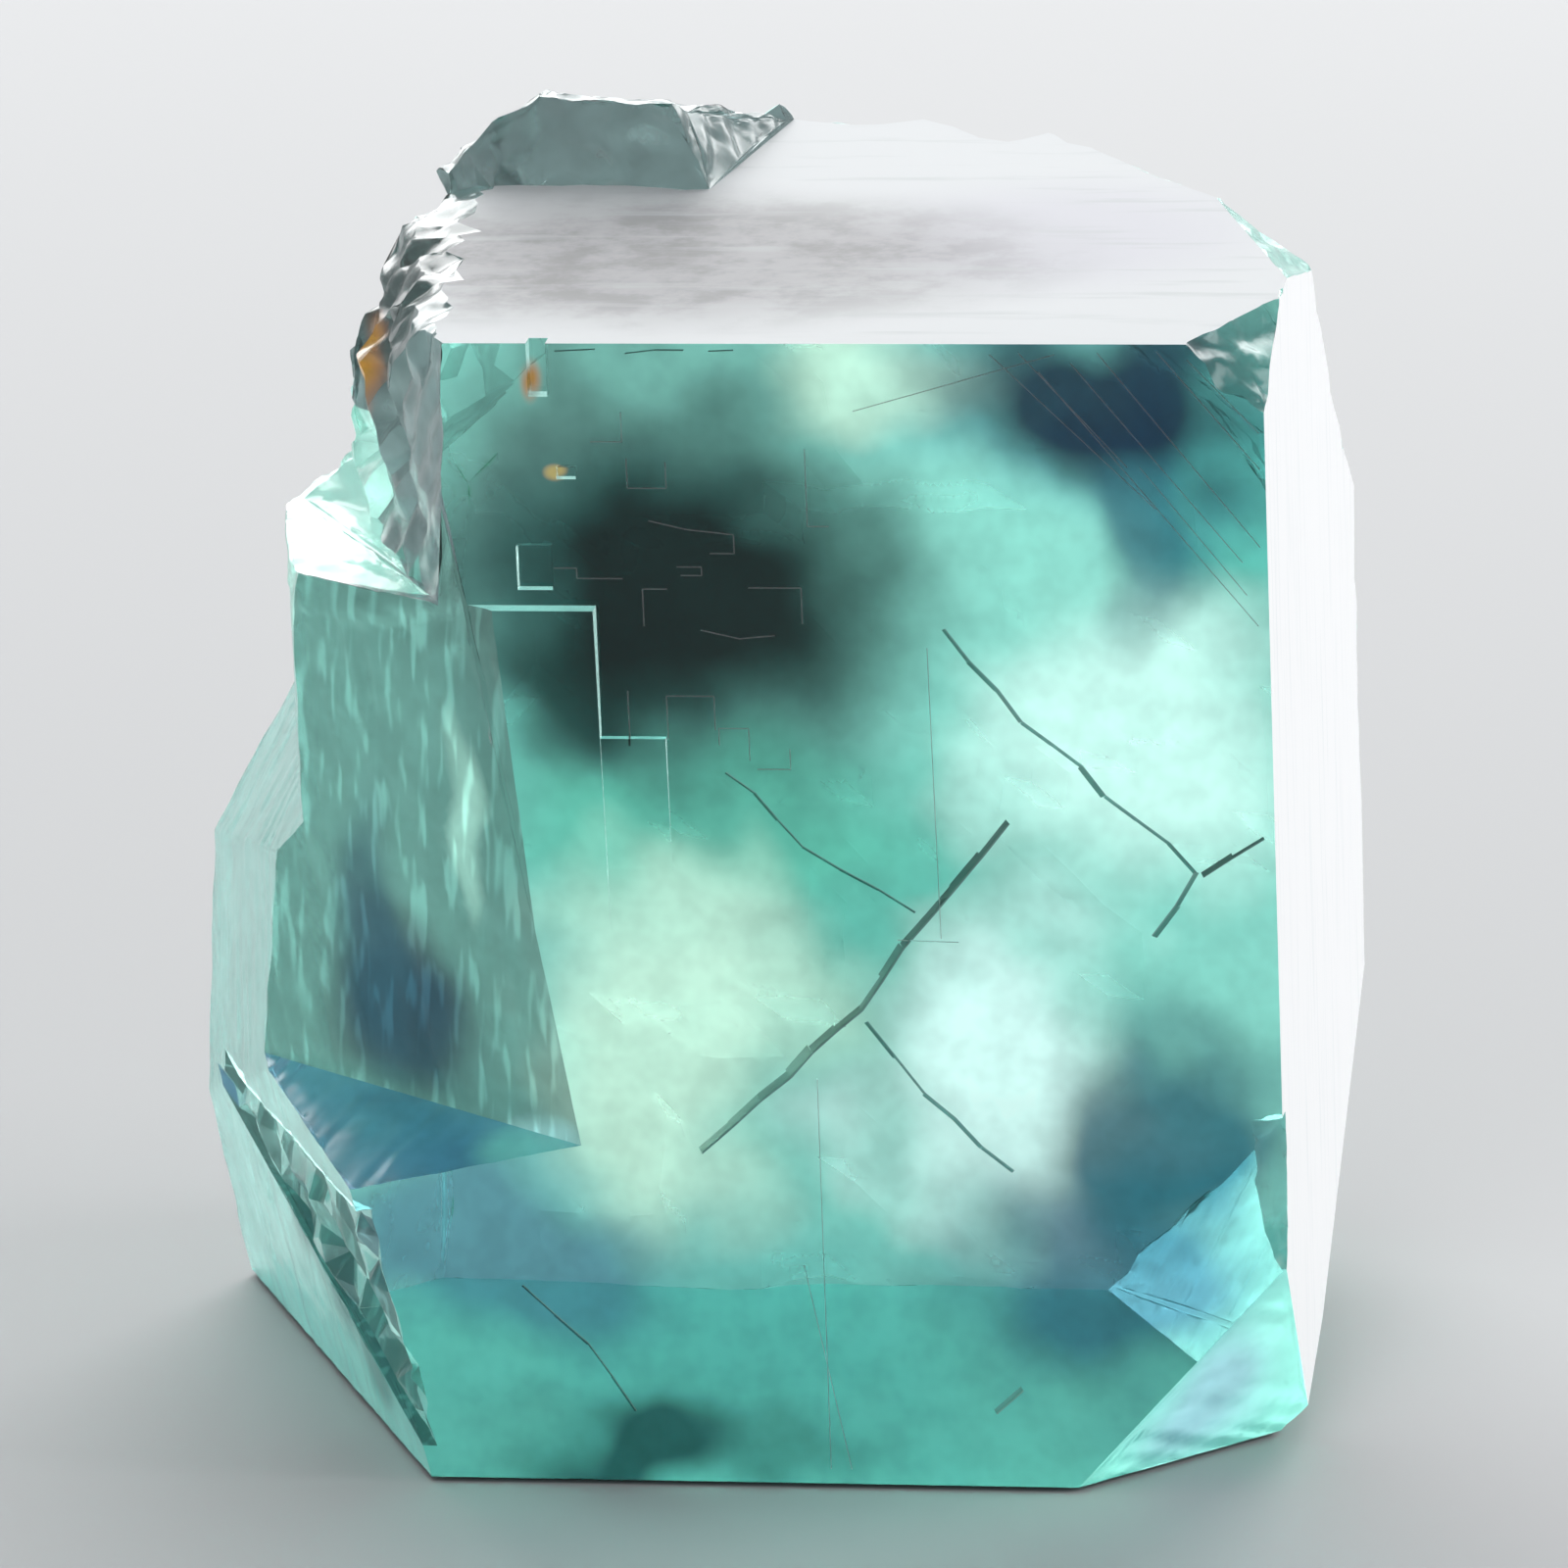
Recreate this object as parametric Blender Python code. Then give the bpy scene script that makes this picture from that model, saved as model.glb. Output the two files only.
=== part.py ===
"""A cleaved, partly broken cube of blue-green fluorite, standing on its underside.

Fluorite grows in cubes and splits along octahedral planes. Three cube faces are whole here: the
front (-Y), the top and the right (+X). Cleavage and fracture have taken the left side, the back and
several corners. The crystal grew as one piece, so it is one solid.

Lengths are in millimetres in the tables below and are scaled to metres as they are used.
"""

import math

import bmesh
import bpy
from mathutils import Matrix, Vector, noise

MM = 0.001

# The block that the crystal was before it was broken: its three whole faces and its outer limits
FRONT = -22.0
RIGHT = 31.2
TOP = 68.1
LEFT = -38.0
BACK = 27.5

# The step on the left where the upper part has broken back
SHOULDER_HEIGHT = 52.4
FRONT_FACE_LEFT = -15.2

# The octahedral plane behind the top right corner crosses the three cube directions at this sum
TOP_CORNER_SUM = 101.4

# Three points of the side below on the left, which leans out
LOWER_LEFT = ((-18.8, FRONT, 0), (-21.7, FRONT, 13.1), (-27.2, -5.6, 0))

# The broken mound that stands above the top face at its back left
MOUND_FRONT = 11.3
MOUND_LEFT = -24.0
MOUND_RIGHT = -4.0
MOUND_CREST = 4.6

# The growth plates run out into the front face, to this depth behind it
PLATE_SINK = 0.2

# The points of a broken surface are shaken off their grid by this share of its cell
SHAKE = 0.30
SHAKE_PATTERN = 11.3

# A tool is larger than anything that it cuts
TOOL_SIZE = 160.0
OVERLAP = 2.0

BODY_COLOUR = (0.33, 0.66, 0.62, 1.0)
BODY_ROUGHNESS = 0.12
FLUORITE_IOR = 1.434


def clear_scene():
    for old in list(bpy.data.objects):
        bpy.data.objects.remove(old, do_unlink=True)


def collection(name):
    made = bpy.data.collections.new(name)
    bpy.context.scene.collection.children.link(made)
    return made


def object_from(bm, name, home):
    """The bmesh as an object in the collection home, with its lengths turned to metres."""
    bmesh.ops.scale(bm, vec=(MM, MM, MM), verts=bm.verts)
    mesh = bpy.data.meshes.new(name)
    bm.to_mesh(mesh)
    bm.free()
    made = bpy.data.objects.new(name, mesh)
    home.objects.link(made)
    return made


def as_tool(obj):
    obj.hide_render = True
    obj.display_type = "WIRE"
    return obj


def block_bmesh(low, high):
    """A cube primitive stretched between two corners."""
    bm = bmesh.new()
    bmesh.ops.create_cube(bm, size=1.0)
    low, high = Vector(low), Vector(high)
    bmesh.ops.scale(bm, vec=high - low, verts=bm.verts)
    bmesh.ops.translate(bm, vec=(low + high) / 2, verts=bm.verts)
    return bm


def cleave(bm, point, facing):
    """Splits off all that lies beyond a plane, and closes the cut with a flat face."""
    cut = bmesh.ops.bisect_plane(
        bm,
        geom=bm.verts[:] + bm.edges[:] + bm.faces[:],
        plane_co=Vector(point),
        plane_no=Vector(facing).normalized(),
        clear_outer=True,
    )
    rim = [part for part in cut["geom_cut"] if isinstance(part, bmesh.types.BMEdge)]
    bmesh.ops.holes_fill(bm, edges=rim)
    bmesh.ops.recalc_face_normals(bm, faces=bm.faces)


def facing_of(a, b, c, away_from):
    """The normal of the plane through three points, on the side away from a fourth."""
    normal = (Vector(b) - Vector(a)).cross(Vector(c) - Vector(a)).normalized()
    return -normal if normal.dot(Vector(away_from) - Vector(a)) > 0 else normal


def half_space_tool(name, home, planes):
    """A tool filling the side that every plane faces, up to the size of a tool."""
    reach = TOOL_SIZE / 2
    bm = block_bmesh((-reach,) * 3, (reach,) * 3)
    for point, facing in planes:
        cleave(bm, point, -Vector(facing))
    return as_tool(object_from(bm, name, home))


def smooth_step(t):
    t = min(1.0, max(0.0, t))
    return t * t * (3 - 2 * t)


def stairs(height, sharpness=5.0):
    """Turns a slope into treads and steep risers, as cleavage does."""
    tread = math.floor(height)
    rise = height - tread
    return tread + smooth_step((rise - 0.5) * sharpness + 0.5)


def hackly(u, v, seed, broad, step):
    """The relief of a broken face: broad swells with cleavage steps on them."""
    swell = noise.noise(Vector((u / 21, v / 21, seed))) * broad
    slope = 2.6 * noise.noise(Vector((u / 17 + 3.1, v / 11, seed + 9.4)))
    return swell + step * stairs(slope)


def chunky(u, v, seed, size, tilt, step):
    """The relief of an uneven break: small flat pieces, each tilted its own way."""
    at = Vector((u / size, v / size, seed))
    middle = noise.voronoi(at)[1][0]
    lean = noise.cell_vector(middle * 17.0)
    away = at - middle
    return size * tilt * (lean.x * away.x + lean.y * away.y) + step * lean.z


def conchoidal(u, v, seed, depth, ripple):
    """The relief of a shell-like break: hollows with rings round the points where it was struck."""
    height = 0.0
    for strike in range(3):
        angle = 2.1 * strike + seed
        centre = Vector((6.0 * math.cos(angle), 6.0 * math.sin(angle)))
        away = (Vector((u, v)) - centre).length
        height -= depth * math.exp(-((away / 5.0) ** 2))
        height += ripple * math.sin(away * 2.3 + strike) * math.exp(-away / 6.0)
    return height + 0.5 * noise.noise(Vector((u / 3.7, v / 3.7, seed)))


def beside_relief(u, v):
    """The steep break: even along the front face, where its edge is sharp, and broken behind it."""
    return chunky(u, v, 8.1, size=6.0, tilt=0.36, step=0.5) * smooth_step((abs(u) - 1.0) / 5.0)


def corner_relief(u, v):
    """Behind the top right corner: the break swells towards the back left, with low steps."""
    swell = 4.6 * smooth_step((u + 8.0) / 26.0) * smooth_step((v + 4.0) / 20.0)
    return swell + hackly(u, v, 4.2, broad=1.6, step=0.7)


def back_relief(u, v):
    """The back: swells and steps, with one hollow that takes a bite out of the top edge."""
    bite = 6.0 * math.exp(-(((u + 11.2) / 3.6) ** 2) - ((v - 34.0) / 11.0) ** 2)
    broken = chunky(u, v, 6.2, size=11.0, tilt=0.16, step=0.5)
    return hackly(u, v, 11.3, broad=1.8, step=0.7) + broken - bite


def small_chip_relief(u, v):
    """A shallow spoon-shaped flake with an uneven floor."""
    spoon = 0.024 * u * u + 0.017 * v * v
    return spoon - 1.1 + 0.3 * noise.noise(Vector((u, v, 1.2)))


def fracture_tool(name, home, point, facing, size, cells, relief, limits=()):
    """A slab beyond a plane, whose near side carries the relief of a break.

    The slab keeps only what lies beyond each of the limits, too.
    """
    bm = bmesh.new()
    bmesh.ops.create_grid(bm, x_segments=cells[0], y_segments=cells[1], size=0.5)
    bmesh.ops.scale(bm, vec=(size[0], size[1], 1.0), verts=bm.verts)
    cell = min(size[0] / cells[0], size[1] / cells[1])
    for vert in bm.verts:
        shaken = noise.cell_vector(vert.co * SHAKE_PATTERN) * SHAKE * cell
        vert.co.x += shaken.x
        vert.co.y += shaken.y
        vert.co.z = relief(vert.co.x, vert.co.y)
    grown = bmesh.ops.extrude_face_region(bm, geom=bm.faces[:])
    for part in grown["geom"]:
        if isinstance(part, bmesh.types.BMVert):
            part.co.z = TOOL_SIZE / 4
    bmesh.ops.recalc_face_normals(bm, faces=bm.faces)
    turn = Vector(facing).to_track_quat("Z", "Y").to_matrix().to_4x4()
    bmesh.ops.transform(bm, matrix=Matrix.Translation(point) @ turn, verts=bm.verts)
    for limit, limit_facing in limits:
        cleave(bm, limit, -Vector(limit_facing))
    return as_tool(object_from(bm, name, home))


def combine(crystal, tool, operation):
    modifier = crystal.modifiers.new(tool.name, "BOOLEAN")
    modifier.operation = operation
    modifier.object = tool


def cleaved_block():
    """The block with its flat cleavage faces: those that leave it convex."""
    bm = block_bmesh((LEFT, FRONT, 0), (RIGHT, BACK + OVERLAP, TOP))
    inside = (0, 0, 30)

    # The lower right corner in front, close to an octahedral plane
    cleave(bm, (18.9, FRONT, 0), (0.568, -0.645, -0.511))

    # The underside rises behind that corner, steeply and then gently
    rise = ((RIGHT, -11.4, 0.2), (RIGHT, -3.0, 3.6), (27.8, -3.0, 0))
    cleave(bm, rise[0], facing_of(*rise, away_from=inside))
    rise = ((RIGHT, -3.0, 3.6), (RIGHT, 20.0, 8.6), (22.0, 20.0, 0))
    cleave(bm, rise[0], facing_of(*rise, away_from=inside))

    # The top right edge is worn off towards the back
    cleave(bm, (RIGHT, -2.1, 66.6), (0.573, 0.194, 0.796))

    # Below on the left: a side that leans out, and above its ridge one that is nearly upright
    cleave(bm, LOWER_LEFT[0], facing_of(*LOWER_LEFT, away_from=inside))
    cleave(bm, (-36.4, 8.0, 21.0), (-0.93, -0.36, 0.07))

    # The corner behind on the left
    cleave(bm, (-36.6, 9.0, 15), (-0.78, 0.62, 0.05))
    return bm


def mound(home):
    """What is left of a layer above the top face, with its own breaks in front, above and beside."""
    low = (MOUND_LEFT, MOUND_FRONT - 3 * OVERLAP, TOP - OVERLAP)
    high = (MOUND_RIGHT + 3 * OVERLAP, BACK + 2 * OVERLAP, TOP + MOUND_CREST + 2 * OVERLAP)
    bm = block_bmesh(low, high)
    cleave(bm, (MOUND_RIGHT, MOUND_FRONT + 4, TOP), (0.80, -0.13, 0.58))
    made = as_tool(object_from(bm, "mound", home))
    middle = (MOUND_LEFT + MOUND_RIGHT) / 2
    in_front = fracture_tool(
        "break_before_mound",
        home,
        point=(middle, MOUND_FRONT, TOP),
        facing=(-0.04, -0.80, 0.60),
        size=(34, 30),
        cells=(26, 22),
        relief=lambda u, v: conchoidal(u, v, 0.8, depth=0.5, ripple=0.28),
    )
    above = fracture_tool(
        "break_over_mound",
        home,
        point=(middle, 16.0, TOP + MOUND_CREST),
        facing=(0.11, 0.28, 0.95),
        size=(36, 30),
        cells=(26, 22),
        relief=lambda u, v: conchoidal(u, v, 2.4, depth=0.6, ripple=0.40),
    )
    on_left = fracture_tool(
        "break_left_of_mound",
        home,
        point=(-14.4, 15.5, TOP + MOUND_CREST),
        facing=(-0.52, 0.10, 0.85),
        size=(40, 40),
        cells=(22, 22),
        relief=lambda u, v: chunky(u, v, 4.9, size=4.0, tilt=0.35, step=0.3),
    )
    for tool in (in_front, above, on_left):
        combine(made, tool, "DIFFERENCE")
    return made


def growth_steps(home):
    """Square plates that stand proud at their upper edge and sink into the face lower down."""
    plates = (
        # name, left, right, upper edge, lower end, height of the upper edge above the face
        ("step_plate_upper", -15.6, -6.8, 52.8, 30.0, 1.10),
        ("step_plate_lower", -14.9, -3.1, 45.1, 34.0, 0.50),
    )
    made = []
    for name, left, right, upper, lower, proud in plates:
        bm = block_bmesh((left, FRONT, lower), (right, FRONT + OVERLAP, upper))
        outer = [vert for vert in bm.verts if vert.co.y < FRONT + OVERLAP / 2]
        for vert in outer:
            is_upper = vert.co.z > (upper + lower) / 2
            vert.co.y -= proud if is_upper else -PLATE_SINK
        made.append(as_tool(object_from(bm, name, home)))
    return made


def growth_pits(home):
    """Square notches that the growing face left open."""
    pits = (
        # name, left, right, bottom, upper edge, depth
        ("pit_at_top_edge", -10.1, -9.0, 65.0, TOP + OVERLAP, 1.1),
        ("pit_middle", -8.7, -7.6, 60.2, 60.9, 0.6),
        ("pit_lower", -11.2, -9.2, 53.7, 56.3, 0.7),
    )
    for name, left, right, bottom, upper, depth in pits:
        bm = block_bmesh((left, FRONT - OVERLAP, bottom), (right, FRONT + depth, upper))
        yield as_tool(object_from(bm, name, home))


def bevels(home):
    """The rough strip to the left of the top face: it droops, and then falls away."""
    strips = (
        # name, a point, facing
        ("bevel_droop", (-16.9, 0.0, TOP), (-0.28, -0.03, 0.96)),
        ("bevel_fall", (-21.3, 2.0, 66.2), (-0.80, -0.16, 0.58)),
    )
    for name, point, facing in strips:
        yield fracture_tool(
            name,
            home,
            point=point,
            facing=facing,
            size=(70, 70),
            cells=(34, 34),
            relief=lambda u, v: chunky(u, v, 2.7, size=4.5, tilt=0.30, step=0.3),
        )


def broken_away(home):
    """Tools for the concave breaks and the rough faces, in the order in which they cut."""
    octahedral = Vector((1, 1, 1)).normalized()
    below = (0, 0, 0)

    # The upper left: a steep break beside the front face, above a shoulder that rises to the back
    beside = Vector((-0.935, -0.35, 0.03))
    shoulder_rise = ((-28.3, 0, 52.0), (-17.8, -6.0, 52.5), (-24.1, 3.0, 55.0))
    behind_shoulder = (Vector((-28.3, 0, 52.0)), Vector((-0.70, 0.20, 0.78)))
    steep = fracture_tool(
        "break_above_shoulder",
        home,
        point=(FRONT_FACE_LEFT, FRONT, 60),
        facing=beside,
        size=(90, 70),
        cells=(44, 34),
        relief=beside_relief,
    )
    shoulder = (
        half_space_tool("shoulder_tread", home, (((0, 0, SHOULDER_HEIGHT), (0, 0, -1)),)),
        half_space_tool(
            "shoulder_wedge",
            home,
            (
                (shoulder_rise[0], facing_of(*shoulder_rise, away_from=(0, 0, 200))),
                (behind_shoulder[0], -behind_shoulder[1]),
            ),
        ),
    )
    for kept in shoulder:
        combine(steep, kept, "DIFFERENCE")
    yield steep
    step_up = behind_shoulder[0] + 0.4 * behind_shoulder[1]
    yield fracture_tool(
        "break_turned_back",
        home,
        point=(-23.9, 1.0, 60),
        facing=(-0.955, 0.295, 0),
        size=(70, 60),
        cells=(34, 30),
        relief=lambda u, v: chunky(u, v, 5.4, size=6.5, tilt=0.34, step=0.5),
        limits=((step_up, behind_shoulder[1]),),
    )

    # The recessed slab on the left of the front face, with the floor that it broke off at
    slab = ((-14.0, FRONT, 51.5), (-9.1, FRONT, 20.5), (-23.6, -15.6, 52.0))
    floor = ((-9.1, FRONT, 20.5), (-21.4, FRONT, 17.9), (-28.6, -9.3, 20.7))
    yield half_space_tool(
        "slab_left_of_front",
        home,
        (
            (slab[0], facing_of(*slab, away_from=(0, 0, 30))),
            (floor[0], facing_of(*floor, away_from=below)),
        ),
    )

    # The hollow in the left side between the shoulder and the lower bulge
    bulge_top = ((-34.5, 8.0, 31.1), (-31.3, 8.0, 35.7), (-27.0, -11.5, 35.7))
    yield half_space_tool(
        "hollow_in_left_side",
        home,
        (
            ((-27.5, -6.0, 45), (-0.979, -0.204, 0)),
            (bulge_top[0], facing_of(*bulge_top, away_from=below)),
        ),
    )

    # A rough sunken strip between the lower left side and the front face
    lower_facing = facing_of(*LOWER_LEFT, away_from=(0, 0, 30))
    strip = (Vector((-33.7, 0, 12.6)), Vector((-19.3, -21.0, 2.4)))
    across = (strip[1] - strip[0]).cross(lower_facing).normalized()
    up_strip = across if across.z > 0 else -across
    yield fracture_tool(
        "rough_strip_lower_left",
        home,
        point=Vector(LOWER_LEFT[0]) - 0.8 * lower_facing,
        facing=lower_facing,
        size=(90, 70),
        cells=(56, 44),
        relief=lambda u, v: chunky(u, v, 3.3, size=3.2, tilt=0.40, step=0.35),
        limits=((strip[0], up_strip), ((-21.6, FRONT, 16.4), (0.15, 0.1, -1.0))),
    )

    # The top corner behind on the right, split along an octahedral plane that waves as it goes
    yield fracture_tool(
        "cleavage_behind_top_right",
        home,
        point=octahedral * TOP_CORNER_SUM / math.sqrt(3),
        facing=octahedral,
        size=(120, 120),
        cells=(56, 56),
        relief=corner_relief,
    )

    # The back
    yield fracture_tool(
        "break_at_back",
        home,
        point=(0, 26.3, 36),
        facing=(0, 1, -0.03),
        size=(90, 92),
        cells=(46, 46),
        relief=back_relief,
    )

    # Two chips on the edge between the front and right faces
    chip = ((27.2, FRONT, TOP), (RIGHT, FRONT, 64.2), (RIGHT, -12.0, TOP))
    yield fracture_tool(
        "chip_at_top_corner",
        home,
        point=chip[0],
        facing=facing_of(*chip, away_from=below),
        size=(44, 44),
        cells=(26, 26),
        relief=lambda u, v: chunky(u, v, 6.6, size=3.4, tilt=0.40, step=0.25) - 0.25,
    )
    yield fracture_tool(
        "chip_low_on_edge",
        home,
        point=(RIGHT, FRONT, 18.0),
        facing=(0.72, -0.69, 0.10),
        size=(9, 9),
        cells=(12, 12),
        relief=small_chip_relief,
    )


def fluorite_material():
    material = bpy.data.materials.new("fluorite")
    material.use_nodes = True
    shader = material.node_tree.nodes["Principled BSDF"]
    shader.inputs["Base Color"].default_value = BODY_COLOUR
    shader.inputs["Roughness"].default_value = BODY_ROUGHNESS
    shader.inputs["Metallic"].default_value = 0.0
    shader.inputs["IOR"].default_value = FLUORITE_IOR
    shader.inputs["Transmission Weight"].default_value = 1.0
    return material


def set_on_origin(mesh):
    """Puts the origin on the surface that the crystal stands on, under the middle of its box."""
    xs = [vert.co.x for vert in mesh.vertices]
    ys = [vert.co.y for vert in mesh.vertices]
    middle = Vector(((min(xs) + max(xs)) / 2, (min(ys) + max(ys)) / 2, 0))
    mesh.transform(Matrix.Translation(-middle))


def main():
    clear_scene()
    home = collection("fluorite_cube")
    tools = collection("tools")

    block = object_from(cleaved_block(), "block", home)
    for bevel in bevels(tools):
        combine(block, bevel, "DIFFERENCE")
    combine(block, mound(tools), "UNION")
    for plate in growth_steps(tools):
        combine(block, plate, "UNION")
    for tool in broken_away(tools):
        combine(block, tool, "DIFFERENCE")
    for pit in growth_pits(tools):
        combine(block, pit, "DIFFERENCE")

    evaluated = block.evaluated_get(bpy.context.evaluated_depsgraph_get())
    mesh = bpy.data.meshes.new_from_object(evaluated)
    bpy.data.objects.remove(block)
    set_on_origin(mesh)
    mesh.name = "fluorite_crystal"
    mesh.materials.clear()
    mesh.materials.append(fluorite_material())
    home.objects.link(bpy.data.objects.new("fluorite_crystal", mesh))


main()
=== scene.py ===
import math

import bmesh
import bpy
from mathutils import Matrix, Vector, noise


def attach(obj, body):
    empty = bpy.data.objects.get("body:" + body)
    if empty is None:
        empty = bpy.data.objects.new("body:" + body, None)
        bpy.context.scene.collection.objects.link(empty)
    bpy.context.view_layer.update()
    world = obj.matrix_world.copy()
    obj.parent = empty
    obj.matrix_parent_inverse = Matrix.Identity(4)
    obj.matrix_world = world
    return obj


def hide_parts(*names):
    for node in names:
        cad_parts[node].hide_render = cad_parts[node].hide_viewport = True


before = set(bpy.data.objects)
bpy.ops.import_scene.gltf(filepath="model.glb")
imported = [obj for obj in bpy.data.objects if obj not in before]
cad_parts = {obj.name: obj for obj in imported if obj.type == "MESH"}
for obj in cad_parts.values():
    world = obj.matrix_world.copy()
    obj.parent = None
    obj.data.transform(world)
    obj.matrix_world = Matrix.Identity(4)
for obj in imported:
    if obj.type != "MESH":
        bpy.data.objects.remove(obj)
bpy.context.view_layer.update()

MM = 0.001
WELD_DISTANCE = 2e-6
NODE = "fluorite_crystal"

# The whole faces of the crystal lie in these planes of the frame, in millimetres
FRONT_Y = -24.843
RIGHT_X = 34.198
TOP_Z = 68.1

# The camera stands where the photograph was taken from
CAMERA_AZIMUTH = 9.0
CAMERA_ELEVATION = 18.0
CAMERA_ROLL = -2.35
CAMERA_LENS = 250.0
CAMERA_SENSOR = 36.0
CAMERA_DISTANCE = 0.637
CAMERA_NEAR = 0.01
CAMERA_TARGET = Vector((2.998, -2.843, 35.1)) * MM

# Optical values of fluorite
FLUORITE_IOR = 1.434
ABSORBED_TINT = (0.62, 0.93, 0.86, 1.0)
ABSORPTION_DENSITY = 10.0
REAR_COLOUR = (0.80, 1.0, 0.97, 1.0)

# The kinds of face, as the material reads them
BROKEN = 0.0
GROWTH_FACE = 1.0
TOP_FACE = 2.0
RIGHT_FACE = 3.0
UNDERSIDE = 4.0
FIBROUS_FACET = 5.0
WEDGE_FLOOR = 6.0
GREY_BREAK = 7.0
SHOULDER = 8.0
PALE_FACET = 9.0
CRUSHED_BAND = 10.0
CORNER_FACET = 11.0
CRACK_WALL = 12.0
FINE_LINE = 13.0
LEDGE = 14.0
EVEN_FACES = (GROWTH_FACE, TOP_FACE, RIGHT_FACE, UNDERSIDE, CRACK_WALL, FINE_LINE, LEDGE)

# Faces within this distance of a whole face's plane belong to it. The front has growth steps on it.
PLANE_REACH = 0.02
FRONT_RELIEF = 1.6
LEDGE_REACH = 1.3
LEDGES_LEFT = -13.0
LEDGES_RIGHT = 3.0
LEDGES_FOOT = 30.0

# Where the facets and breaks begin and end, in millimetres
CORNERS_LEFT = 8.0
FIBROUS_FOOT = 19.0
WEDGE_LOW = 14.0
WEDGE_HIGH = 26.0
CRUSHED_TOP = 20.0
SHOULDER_Z = 50.0
SHOULDER_RIGHT = -19.0

# How squarely a face looks: along a whole face, along the stepped front, across, and to the back
LEVEL = 0.9995
FRONT_LEVEL = 0.985
SIDEWAYS = 0.3
REARWARD = 0.45
FIBROUS_NORMAL = Vector((-0.556, -0.827, -0.088)).normalized()
LEFT_NORMAL = Vector((-0.93, -0.36, 0.07)).normalized()
LEANING_NORMAL = Vector((-0.873, -0.447, -0.193)).normalized()
FIBRE_ACROSS = Vector((0.83, -0.556, 0.10)).normalized()

# The breaks: the angle of an edge that stays sharp, the longest edge in millimetres, how often long
# edges are halved, and the least area of a triangle that is split, as a share of its longest edge squared
SHARP_BREAK = math.radians(38.0)
BREAK_EDGE = 0.75
HALVINGS = 7
SLIVER_SHARE = 0.004

# The relief of the breaks, in millimetres: waves, ledges on the back, arcs above and fibres below
WAVE_SIZE = 3.1
WAVE_HEIGHT = 0.22
LEDGE_SIZE = 6.0
LEDGE_HEIGHT = 0.12
ARC_CENTRE = Vector((-10.0, 6.0, 80.0))
ARC_HEIGHT = 0.10
ARCS_PER_MM = 2.4
FIBRE_HEIGHT = 0.09
FIBRE_FINENESS = 1.5
FIBRE_BEND = 0.05

# Soft clouds of colour in the crystal: centre and radii in millimetres, the share of the light that
# each colour lets out, strength
COLOUR_CLOUDS = (
    ((-8.0, FRONT_Y, 47.0), (11.0, 30.0, 22.0), (0.17, 0.40, 0.38), 0.9),
    ((0.0, FRONT_Y, 8.0), (26.0, 30.0, 17.0), (0.20, 0.50, 0.48), 0.9),
    ((9.6, FRONT_Y, 34.5), (16.0, 30.0, 18.0), (0.14, 0.45, 0.39), 0.95),
    ((32.0, FRONT_Y, 58.0), (10.0, 26.0, 17.0), (0.13, 0.47, 0.42), 0.95),
    ((1.0, FRONT_Y, 40.5), (17.0, 26.0, 9.0), (0.16, 0.52, 0.42), 0.9),
    ((-1.0, FRONT_Y, 27.5), (11.0, 26.0, 15.0), (0.78, 0.86, 0.74), 1.0),
    ((18.4, FRONT_Y, 24.6), (12.0, 26.0, 13.0), (0.95, 0.98, 0.98), 1.0),
    ((26.5, FRONT_Y, 45.5), (13.0, 26.0, 14.0), (0.80, 0.92, 0.88), 1.0),
    ((17.5, FRONT_Y, 58.0), (11.0, 26.0, 9.0), (0.36, 0.66, 0.60), 0.85),
    ((13.5, FRONT_Y, 66.3), (9.0, 16.0, 4.5), (0.70, 0.80, 0.68), 1.0),
    ((-4.0, FRONT_Y, 60.5), (20.0, 26.0, 16.0), (0.105, 0.135, 0.135), 0.93),
    ((0.0, FRONT_Y, 54.0), (20.0, 26.0, 18.0), (0.035, 0.14, 0.135), 0.97),
    ((-5.0, FRONT_Y, 49.5), (9.0, 22.0, 7.0), (0.012, 0.07, 0.065), 0.95),
    ((0.2, FRONT_Y, 54.6), (17.0, 22.0, 14.5), (0.002, 0.010, 0.010), 0.995),
    ((24.0, FRONT_Y, 65.0), (15.0, 26.0, 10.0), (0.05, 0.26, 0.33), 0.8),
    ((26.8, FRONT_Y, 60.0), (4.6, 16.0, 11.0), (0.015, 0.14, 0.22), 0.8),
    ((25.4, FRONT_Y, 65.6), (14.0, 22.0, 7.5), (0.0, 0.02, 0.055), 0.99),
    ((25.0, FRONT_Y, 13.2), (15.0, 20.0, 12.0), (0.012, 0.12, 0.24), 0.93),
    ((27.8, FRONT_Y, 21.6), (9.0, 16.0, 9.5), (0.012, 0.15, 0.21), 0.97),
    ((-18.5, -17.0, 26.0), (7.0, 12.0, 8.0), (0.03, 0.09, 0.15), 0.97),
    ((-10.5, FRONT_Y, 13.5), (12.0, 16.0, 9.0), (0.13, 0.26, 0.36), 0.9),
    ((-3.0, FRONT_Y, 1.6), (15.0, 12.0, 4.2), (0.02, 0.09, 0.10), 0.97),
)

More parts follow.
